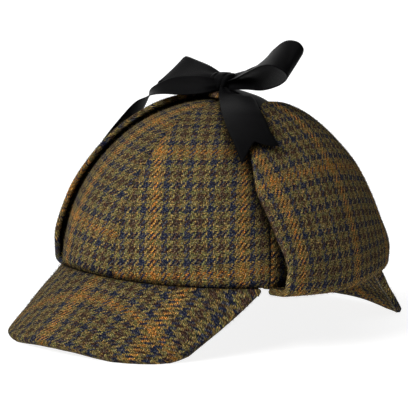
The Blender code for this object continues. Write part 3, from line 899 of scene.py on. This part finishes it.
def tweed_material(looks, name="tweed", tone_and_painted_highlight=None):
    """Mustard cloth in a two-and-two twill with a navy, brown and rust check."""
    material, tree, shader, place = cloth_shader(name)
    ground, navy, brown, rust = (tuple(c) for c in (looks.ground, looks.navy, looks.brown, looks.rust))
    uneven = place
    for scale, size in ((70, 0.0010), (900, 0.0009)):
        wobble = noise(tree, place, scale)["Color"]
        centred = vector_math(tree, "SUBTRACT", {0: wobble, 1: (0.5, 0.5, 0.5)})
        uneven = vector_math(tree, "ADD", {
            0: uneven, 1: vector_math(tree, "SCALE", {0: centred, "Scale": size})})
    split = parts(tree, uneven)
    warp = calculate(tree, "DIVIDE", split[0], looks.warp_pitch)
    weft = calculate(tree, "DIVIDE", split[1], looks.weft_pitch)
    warp_number = calculate(tree, "FLOOR", warp)
    weft_number = calculate(tree, "FLOOR", weft)
    diagonal = calculate(tree, "SUBTRACT", warp_number, weft_number)
    warp_on_top = calculate(tree, "LESS_THAN", calculate(tree, "FLOORED_MODULO", diagonal, 4.0), 1.5)
    plain = [navy, ground, brown, ground]
    ochre = tuple(0.78 * g + 0.22 * r for g, r in zip(ground, rust))
    over = [navy, ochre, rust, ochre]
    warp_colour = thread_colour(tree, warp_number, over + plain * 3)
    weft_colour = thread_colour(tree, weft_number, over + plain * 4)
    woven = mixed(tree, warp_on_top, weft_colour, warp_colour)
    # A second colour mixed in at 0.4: the button's own orange tone; on the welt, a pale painted
    # highlight
    if tone_and_painted_highlight:
        woven = mixed(tree, 0.4, woven, tone_and_painted_highlight)
    heather = noise(tree, place, 1300, 3)["Fac"]
    fibres = tones(tree, heather, ((0.36, (0.20, 0.21, 0.26)), (0.47, (0.74, 0.75, 0.80)),
                                   (0.56, (1.25, 1.20, 1.05)), (0.65, (3.1, 2.8, 2.2))))
    tint = tones(tree, noise(tree, place, 420)["Fac"], (
        (0.34, (0.80, 1.02, 0.95)), (0.50, (1.0, 1.0, 1.0)), (0.66, (1.18, 0.94, 0.82))))
    flecked = mixed(tree, 1.0, mixed(tree, 1.0, woven, fibres, "MULTIPLY"), tint, "MULTIPLY")
    speckle = noise(tree, place, 1050, 1)["Color"]
    specks = add_node(tree, "ShaderNodeSeparateColor", {0: speckle}).outputs
    pale = calculate(tree, "MULTIPLY", calculate(tree, "GREATER_THAN", specks[0], 0.60), 0.45)
    flecked = mixed(tree, pale, flecked, (0.28, 0.25, 0.17))
    dark = calculate(tree, "MULTIPLY", calculate(tree, "LESS_THAN", specks[1], 0.40), 0.65)
    flecked = mixed(tree, dark, flecked, (0.016, 0.014, 0.014))
    warp_round = calculate(tree, "MULTIPLY", warp_on_top, calculate(tree, "PINGPONG", warp, 0.5))
    weft_on_top = calculate(tree, "SUBTRACT", 1.0, warp_on_top)
    weft_round = calculate(tree, "MULTIPLY", weft_on_top, calculate(tree, "PINGPONG", weft, 0.5))
    height = calculate(tree, "SQRT", calculate(tree, "ADD", warp_round, weft_round))
    # Painted shade of the twill's relief: each thread darker towards its edges, and weft floats darker
    # than warp floats
    depth = calculate(tree, "MULTIPLY", calculate(tree, "MULTIPLY_ADD", height, 1.55, 0.06), calculate(
        tree, "MULTIPLY_ADD", warp_on_top, 0.36, 0.84))
    # Base colour scaled by a random mottle (cloud), the painted thread shade and the painted nook shade
    cloud = calculate(tree, "MULTIPLY_ADD", noise(tree, place, 45, 3)["Fac"], 0.5, 0.75)
    light = calculate(tree, "MULTIPLY", calculate(tree, "MULTIPLY", cloud, depth), calculate(
        tree, "MULTIPLY", painted_nook_shade(tree), 1.22))
    lit = vector_math(tree, "SCALE", {0: flecked, "Scale": light})
    tree.links.new(lit, shader.inputs["Base Color"])
    relief = calculate(tree, "ADD", height, calculate(tree, "MULTIPLY", heather, 0.9))
    bumped(tree, shader, relief, 0.7, 0.0004)
    shader.inputs["Roughness"].default_value = 0.92
    shader.inputs["Specular IOR Level"].default_value = 0.02
    return material


def ribbon_material(looks, sizes):
    """Black ribbon with fine cross ribs and a soft shine."""
    material, tree, shader, place = cloth_shader("black_ribbon")
    split = parts(tree, place)
    half = sizes.width / 2
    ribs = calculate(tree, "SINE", calculate(tree, "MULTIPLY", split[1], 2 * math.pi / sizes.rib_pitch))
    grain = noise(tree, place, 1400, 3)["Fac"]
    edge = calculate(tree, "PINGPONG", calculate(tree, "SUBTRACT", split[0], half), half)
    selvedge = calculate(tree, "GREATER_THAN", edge, sizes.width * 0.455)
    relief = calculate(tree, "ADD", calculate(tree, "MULTIPLY", ribs, 0.5), calculate(
        tree, "ADD", grain, calculate(tree, "MULTIPLY", selvedge, 0.6)))
    bumped(tree, shader, relief, 0.35, 0.00015)
    black = tuple(looks.ribbon)
    tone = mixed(tree, noise(tree, place, 160, 3)["Fac"], tuple(c * 0.7 for c in black),
                 tuple(c * 1.5 for c in black))
    tree.links.new(tone, shader.inputs["Base Color"])
    rough = calculate(tree, "MULTIPLY_ADD", grain, 0.2, looks.roughness)
    tree.links.new(rough, shader.inputs["Roughness"])
    shader.inputs["Specular IOR Level"].default_value = 0.03
    return material


def inner_material(looks):
    """Dark plain cloth for the crown's inside."""
    material, tree, shader, place = cloth_shader("inner_cloth")
    dark = tuple(looks.inner)
    tone = mixed(tree, noise(tree, place, 45, 3)["Fac"], tuple(c * 0.75 for c in dark),
                 tuple(c * 1.6 for c in dark))
    tree.links.new(tone, shader.inputs["Base Color"])
    bumped(tree, shader, noise(tree, place, 1900)["Fac"], 0.3, 0.0002)
    shader.inputs["Roughness"].default_value = 0.38
    return material


MATERIALS = {}


def materials(scene):
    """The hat's finishes, made once."""
    if not MATERIALS:
        MATERIALS["tweed"] = tweed_material(scene.cloth_looks)
        MATERIALS["button"] = tweed_material(scene.cloth_looks, "button_tweed", (0.30, 0.16, 0.045))
        # Pale tweed on the welts: a painted highlight along the peaks' lower edges
        MATERIALS["welt"] = tweed_material(scene.cloth_looks, "welt_tweed_painted_highlight", (0.42, 0.36, 0.24))
        MATERIALS["ribbon"] = ribbon_material(scene.ribbon_looks, scene.ribbon_sizes)
        MATERIALS["inner"] = inner_material(scene.ribbon_looks)
    return MATERIALS


def grown(piece, name, tree, settings, material):
    """The plain mesh that a Geometry Nodes tree makes from a piece."""
    modifier = piece.modifiers.new("grow", "NODES")
    modifier.node_group = tree
    for item in tree.interface.items_tree:
        if item.in_out == "INPUT" and item.name in settings:
            modifier[item.identifier] = settings[item.name]
    depsgraph = bpy.context.evaluated_depsgraph_get()
    mesh = bpy.data.meshes.new_from_object(piece.evaluated_get(depsgraph))
    piece.modifiers.remove(modifier)
    mesh.name = name
    mesh.materials.clear()
    mesh.materials.append(material)
    return placed(name, mesh)


def start_tree(name, inputs):
    """A Geometry Nodes tree with a geometry input and output and named settings."""
    tree = bpy.data.node_groups.new(name, "GeometryNodeTree")
    tree.interface.new_socket("Geometry", in_out="INPUT", socket_type="NodeSocketGeometry")
    for title, kind in inputs:
        tree.interface.new_socket(title, in_out="INPUT", socket_type=kind)
    tree.interface.new_socket("Geometry", in_out="OUTPUT", socket_type="NodeSocketGeometry")
    return tree, tree.nodes.new("NodeGroupInput"), tree.nodes.new("NodeGroupOutput")


def fuzz_tree():
    """Loose fibres standing off a cloth's face, each a thin three-sided spike."""
    tree, given, result = start_tree("loose_fibres", (
        ("Density", "NodeSocketFloat"), ("Length", "NodeSocketFloat"), ("Seed", "NodeSocketInt"),
        ("Centre", "NodeSocketVector"), ("Least outward", "NodeSocketFloat"),
        ("Material", "NodeSocketMaterial")))
    given = given.outputs
    place = add_node(tree, "GeometryNodeInputPosition").outputs[0]
    normal = add_node(tree, "GeometryNodeInputNormal").outputs[0]
    outward = vector_math(tree, "SUBTRACT", {0: place, 1: given["Centre"]})
    facing = add_node(tree, "ShaderNodeVectorMath", {0: outward, 1: normal}, operation="DOT_PRODUCT")
    outer = calculate(tree, "GREATER_THAN", facing.outputs["Value"], given["Least outward"])
    clear = calculate(tree, "GREATER_THAN", parts(tree, place)[2], FIBRE_CLEARANCE)
    points = add_node(tree, "GeometryNodeDistributePointsOnFaces", {
        "Selection": calculate(tree, "MULTIPLY", outer, clear), "Mesh": given["Geometry"],
        "Density": given["Density"], "Seed": given["Seed"]}).outputs
    spike = add_node(tree, "GeometryNodeMeshCone", {
        "Vertices": 3, "Radius Top": 0.0, "Radius Bottom": FIBRE_RADIUS, "Depth": given["Length"]},
        fill_type="NGON")
    lean = add_node(tree, "FunctionNodeRandomValue", {
        "Min": (-1.25, -1.25, 0.0), "Max": (1.25, 1.25, 6.28), "Seed": given["Seed"]},
        data_type="FLOAT_VECTOR")
    turn = add_node(tree, "FunctionNodeEulerToRotation", {0: lean.outputs["Value"]})
    rotate = add_node(tree, "FunctionNodeRotateRotation", {
        0: points["Rotation"], 1: turn.outputs[0]}, rotation_space="LOCAL")
    size = add_node(tree, "FunctionNodeRandomValue", {2: 0.45, 3: 1.35}, data_type="FLOAT")
    standing = add_node(tree, "GeometryNodeInstanceOnPoints", {
        "Points": points["Points"], "Instance": spike.outputs["Mesh"],
        "Rotation": rotate.outputs[0], "Scale": size.outputs[1]})
    real = add_node(tree, "GeometryNodeRealizeInstances", {0: standing.outputs[0]})
    woven = add_node(tree, "GeometryNodeInputNamedAttribute", {"Name": "Weave"},
                     data_type="FLOAT_VECTOR")
    store = add_node(tree, "GeometryNodeStoreNamedAttribute", data_type="FLOAT2", domain="CORNER")
    store.inputs["Name"].default_value = "Weave"
    tree.links.new(real.outputs[0], store.inputs["Geometry"])
    tree.links.new(woven.outputs["Attribute"], store.inputs["Value"])
    finish = add_node(tree, "GeometryNodeSetMaterial", {
        "Geometry": store.outputs[0], "Material": given["Material"]})
    tree.links.new(finish.outputs[0], result.inputs[0])
    return tree


class HAT_OT_crown(bpy.types.Operator):
    """Six gores of tweed sewn into a dome, plain inside"""
    bl_idname = "hat.crown"
    bl_label = "Crown"

    def execute(self, context):
        sizes = context.scene.hat_sizes
        finish = materials(context.scene)
        cloth_inner = -(sizes.crown_wall - sizes.inner_wall)
        crown = make_dome("crown_cloth", sizes, 0.0, cloth_inner, 0.0022, sizes.seam_depth,
                          finish["tweed"])
        dress(crown, ("crown",))
        lower = make_dome("crown_inside", sizes, cloth_inner - 0.0001, -sizes.crown_wall, 0.0045,
                          0.0002, finish["inner"])
        dress(lower)
        return {"FINISHED"}


class HAT_OT_button(bpy.types.Operator):
    """Covered button on the crown's top"""
    bl_idname = "hat.button"
    bl_label = "Button"

    def execute(self, context):
        sizes = context.scene.hat_sizes
        radius = sizes.button_diameter / 2
        profile = ((0.30, 0.02), (0.80, 0.0), (0.94, 0.04), (1.0, 0.18), (0.99, 0.34), (0.93, 0.55),
                   (0.82, 0.74), (0.66, 0.87), (0.46, 0.95), (0.24, 0.99), (0.08, 1.0))
        shares = np.linspace(0, 1, 30)
        turns = np.linspace(0, 2 * math.pi, 97)[:-1]
        rings = []
        for out, up in follow(profile, shares):
            gather = 1 - 0.012 * math.exp(-(up / 0.3) ** 2) * (1 - np.cos(turns * 16))
            base = np.array((0, 0, sizes.crown_height + sizes.gap + sizes.button_height * up))
            rings.append(np.stack((radius * out * gather * np.cos(turns),
                                   radius * out * gather * np.sin(turns), 0 * turns), -1) + base)
        finish = materials(context.scene)["button"]
        button = ring_piece("button_cloth", np.array(rings) + RIM_ARRAY, finish)
        layer = button.data.uv_layers["Weave"]
        points = np.array([button.data.vertices[loop.vertex_index].co for loop in button.data.loops])
        flat = cut_from_cloth("button", points[:, 0] - RIM.x, points[:, 1] - RIM.y)
        layer.data.foreach_set("uv", flat.astype(np.float32).ravel())
        dress(button, ("crown_button",))
        return {"FINISHED"}


class HAT_OT_peaks(bpy.types.Operator):
    """Front and rear peak"""
    bl_idname = "hat.peaks"
    bl_label = "Peaks"

    def execute(self, context):
        sizes = context.scene.hat_sizes
        finish = materials(context.scene)
        for name, direction, span, reach, rows in (
            ("front_peak", -1, FRONT_PEAK_SPAN, sizes.front_reach, FRONT_PEAK_ROWS),
            ("rear_peak", 1, REAR_PEAK_SPAN, sizes.rear_reach, REAR_PEAK_ROWS),
        ):
            peak, middle, half = make_peak(name, sizes, direction, span, reach, rows, finish["tweed"])
            dress(peak, (name,))
            # The welt's pale tweed is a painted highlight
            dress(make_welt(name + "_welt", middle, half, WELT_RADIUS, finish["welt"]))
        return {"FINISHED"}


class HAT_OT_flaps(bpy.types.Operator):
    """Ear flaps, turned up over the crown"""
    bl_idname = "hat.flaps"
    bl_label = "Ear flaps"

    def execute(self, context):
        sizes = context.scene.hat_sizes
        tweed = materials(context.scene)["tweed"]
        for name, side, stand in (("ear_flap_left", 1, sizes.stand_left),
                                  ("ear_flap_right", -1, sizes.stand_right)):
            flap = make_flap(name, sizes, side, stand, tweed)
            dress(flap, (name,))
        return {"FINISHED"}


class HAT_OT_ties(bpy.types.Operator):
    """Tie ribbons from the flaps' tips to the knot"""
    bl_idname = "hat.ties"
    bl_label = "Ties"

    def execute(self, context):
        sizes = context.scene.hat_sizes
        ribbon = context.scene.ribbon_sizes
        finish = materials(context.scene)["ribbon"]
        _, left, right, _ = knot_anchors(sizes, ribbon)
        for name, side, stand, knot_side in (("tie_left", 1, sizes.stand_left, left),
                                             ("tie_right", -1, sizes.stand_right, right)):
            tie, total = tie_piece(name + "_ribbon", sizes, ribbon, side, stand, knot_side, finish)
            dress(tie, (name,))
        return {"FINISHED"}


class HAT_OT_bow(bpy.types.Operator):
    """The bow's knot, loops and tails"""
    bl_idname = "hat.bow"
    bl_label = "Bow"

    def execute(self, context):
        sizes = context.scene.hat_sizes
        ribbon = context.scene.ribbon_sizes
        finish = materials(context.scene)["ribbon"]
        middle, left, right, front = knot_anchors(sizes, ribbon)
        for name, anchor, sections, rows, notch, cup, pleat, held, share in (
            ("bow_loop_left", left, LEFT_LOOP_ROWS, 150, 0.0, 0.02, 0.0007, "folded", 0.8),
            ("bow_loop_right", right, RIGHT_LOOP_ROWS, 120, 0.0, 0.02, 0.0005, "folded", 0.75),
            ("bow_tail_left", front, LEFT_TAIL_ROWS, 90, TAIL_NOTCH, 0.03, 0.0006, "hung", 0.75),
            ("bow_tail_right", front, RIGHT_TAIL_ROWS, 120, TAIL_NOTCH, 0.03, 0.0006, "hung", 0.75),
        ):
            piece, total = ribbon_piece(name + "_ribbon", ribbon, anchor, sections, rows, finish,
                                        notch, cup, pleat, both_ends=held == "folded")
            dress(piece, (name,))
        turns = np.linspace(0, 2 * math.pi, 65)[:-1]
        rings = []
        for place in np.linspace(-1, 1, 25):
            swell = 1 - 0.10 * place ** 2 - 0.55 * max(0.0, abs(place) - 0.86) / 0.14
            crease = 1 - 0.16 * np.exp(-((place + 0.42 + 0.10 * np.sin(turns)) / 0.08) ** 2)
            crease = crease - 0.16 * np.exp(-((place - 0.50 + 0.08 * np.sin(turns)) / 0.08) ** 2)
            y = np.sign(np.cos(turns)) * np.abs(np.cos(turns)) ** 0.75 * ribbon.knot_depth / 2
            z = np.sign(np.sin(turns)) * np.abs(np.sin(turns)) ** 0.75 * ribbon.knot_height / 2
            x = np.full_like(turns, place * ribbon.knot_length * 1.06 - 0.0024) + 0.0026 * np.sin(turns)
            rings.append(np.stack((
                x, 1.50 * y * swell * crease, 1.28 * z * swell * crease - 0.0008), -1))
        knot = ring_piece("bow_knot_ribbon", np.array(rings) + np.array(middle), finish)
        dress(knot, ("bow_knot",))
        return {"FINISHED"}


class HAT_OT_fuzz(bpy.types.Operator):
    """Loose wool fibres over the tweed"""
    bl_idname = "hat.fuzz"
    bl_label = "Wool fibres"

    def execute(self, context):
        looks = context.scene.cloth_looks
        tweed = materials(context.scene)["tweed"]
        tree = fuzz_tree()
        for seed, name in enumerate(("crown", "front_peak", "rear_peak", "ear_flap_left",
                                     "ear_flap_right"), 1):
            settings = {"Density": looks.fuzz_density, "Length": looks.fuzz_length, "Seed": seed,
                        "Centre": RIM, "Least outward": 0.0 if name == "crown" else -1.0,
                        "Material": tweed}
            cloth = bpy.data.objects[name + "_cloth"]
            fibres = grown(cloth, name + "_fuzz", tree, settings, tweed)
            dress(fibres, settled=True)
        return {"FINISHED"}


def make_floor(looks):
    """A pale floor that gives off a little light, as lit paper does."""
    corners = [(x * FLOOR_REACH, y * FLOOR_REACH, 0) for x, y in ((-1, -1), (1, -1), (1, 1), (-1, 1))]
    mesh = bpy.data.meshes.new("floor")
    mesh.from_pydata(corners, [], [(0, 1, 2, 3)])
    paper = bpy.data.materials.new("pale_floor")
    paper.use_nodes = True
    tree = paper.node_tree
    shader = tree.nodes["Principled BSDF"]
    shader.inputs["Base Color"].default_value = (*looks.floor, 1)
    shader.inputs["Emission Color"].default_value = (1, 1, 1, 1)
    seen = add_node(tree, "ShaderNodeLightPath").outputs["Is Camera Ray"]
    glow = calculate(tree, "MULTIPLY_ADD", seen, FLOOR_GLOW_SEEN, looks.floor_glow)
    tree.links.new(glow, shader.inputs["Emission Strength"])
    shader.inputs["Roughness"].default_value = 0.8
    shader.inputs["Specular IOR Level"].default_value = 0.1
    mesh.materials.append(paper)
    floor = placed("floor", mesh)


def make_surround(looks):
    """A white surround, with a card that only shiny surfaces reflect."""
    world = bpy.data.worlds.new("white_surround")
    world.use_nodes = True
    sky = world.node_tree
    background = sky.nodes["Background"]
    background.inputs[0].default_value = (1, 1, 1, 1)
    path = add_node(sky, "ShaderNodeLightPath").outputs
    direction = add_node(sky, "ShaderNodeTexCoord").outputs["Generated"]
    toward = add_node(sky, "ShaderNodeVectorMath", {0: direction, 1: CARD_DIRECTION},
                      operation="DOT_PRODUCT").outputs["Value"]
    card = calculate(sky, "POWER", calculate(sky, "MAXIMUM", toward, 0.0), CARD_FALL_OFF)
    shine = calculate(sky, "MULTIPLY", path["Is Glossy Ray"], calculate(
        sky, "MULTIPLY_ADD", card, looks.card_strength, CARD_FLOOR))
    around = calculate(sky, "ADD", shine, looks.surround)
    strength = calculate(sky, "MAXIMUM", around, path["Is Camera Ray"])
    sky.links.new(strength, background.inputs[1])
    bpy.context.scene.world = world


def make_light(name, power, spread, place, middle):
    """A soft light of a spread in degrees that shines from its place on the hat's middle."""
    lamp = bpy.data.lights.new(name, "SUN")
    lamp.energy = power
    lamp.angle = math.radians(spread)
    light = placed(name, lamp)
    light.location = middle + Vector(place)
    light.rotation_euler = (-Vector(place)).to_track_quat("-Z", "Y").to_euler()


def make_camera(looks, middle):
    """The camera at the photo's angle to the hat."""
    back = Vector(CAMERA_BACK).normalized()
    right = Vector(CAMERA_RIGHT)
    right = (right - back * right.dot(back)).normalized()
    data = bpy.data.cameras.new("photo_camera")
    data.sensor_width = SENSOR_WIDTH
    data.lens = SENSOR_WIDTH * looks.camera_distance / (PHOTO_SIDE / PIXELS_A_METRE)
    data.shift_x = -AIM_PIXEL_FROM_MIDDLE[0] / PHOTO_SIDE
    data.shift_y = AIM_PIXEL_FROM_MIDDLE[1] / PHOTO_SIDE
    data.clip_end = 50.0
    camera = placed("photo_camera", data)
    turned = Matrix((right, back.cross(right), back)).transposed().to_4x4()
    camera.matrix_world = Matrix.Translation(middle + back * looks.camera_distance) @ turned
    bpy.context.scene.camera = camera


class HAT_OT_stage(bpy.types.Operator):
    """Pale floor, soft studio light and the camera"""
    bl_idname = "hat.stage"
    bl_label = "Stage"

    def execute(self, context):
        looks = context.scene.stage_looks
        middle = RIM + Vector((0, 0, AIM_HEIGHT))
        make_floor(looks)
        make_surround(looks)
        context.scene.view_settings.view_transform = "Standard"
        make_light("key_light", looks.key_strength, 30, (-0.06, -0.86, 0.54), middle)
        make_light("fill_light", looks.fill_strength, 40, (0.75, -0.66, 0.06), middle)
        make_light("top_light", looks.top_strength, 60, (0.1, -0.1, 1.0), middle)
        make_camera(looks, middle)
        return {"FINISHED"}


class HAT_PT_panel(bpy.types.Panel):
    """The hat's pieces and sizes"""
    bl_idname = "HAT_PT_panel"
    bl_label = "Deerstalker Hat"
    bl_space_type = "VIEW_3D"
    bl_region_type = "UI"
    bl_category = "Hat"

    def draw(self, context):
        for operator in OPERATORS:
            self.layout.operator(operator.bl_idname)
        for group in GROUPS:
            settings = getattr(context.scene, group)
            for key in settings.__annotations__:
                self.layout.prop(settings, key)


GROUPS = {
    "hat_sizes": HatSizes,
    "ribbon_sizes": RibbonSizes,
    "cloth_looks": ClothLooks,
    "ribbon_looks": RibbonLooks,
    "stage_looks": StageLooks,
}
OPERATORS = (HAT_OT_crown, HAT_OT_button, HAT_OT_peaks, HAT_OT_flaps, HAT_OT_ties, HAT_OT_bow,
             HAT_OT_fuzz, HAT_OT_stage)


def register():
    for group, kind in GROUPS.items():
        bpy.utils.register_class(kind)
        setattr(bpy.types.Scene, group, bpy.props.PointerProperty(type=kind))
    for operator in OPERATORS:
        bpy.utils.register_class(operator)
    bpy.utils.register_class(HAT_PT_panel)


def unregister():
    bpy.utils.unregister_class(HAT_PT_panel)
    for operator in reversed(OPERATORS):
        bpy.utils.unregister_class(operator)
    for group, kind in GROUPS.items():
        delattr(bpy.types.Scene, group)
        bpy.utils.unregister_class(kind)


def main():
    register()
    for step in ("crown", "button", "peaks", "flaps", "ties", "bow", "fuzz", "stage"):
        getattr(bpy.ops.hat, step)()
    bpy.context.view_layer.update()


if __name__ == "__main__":
    main()
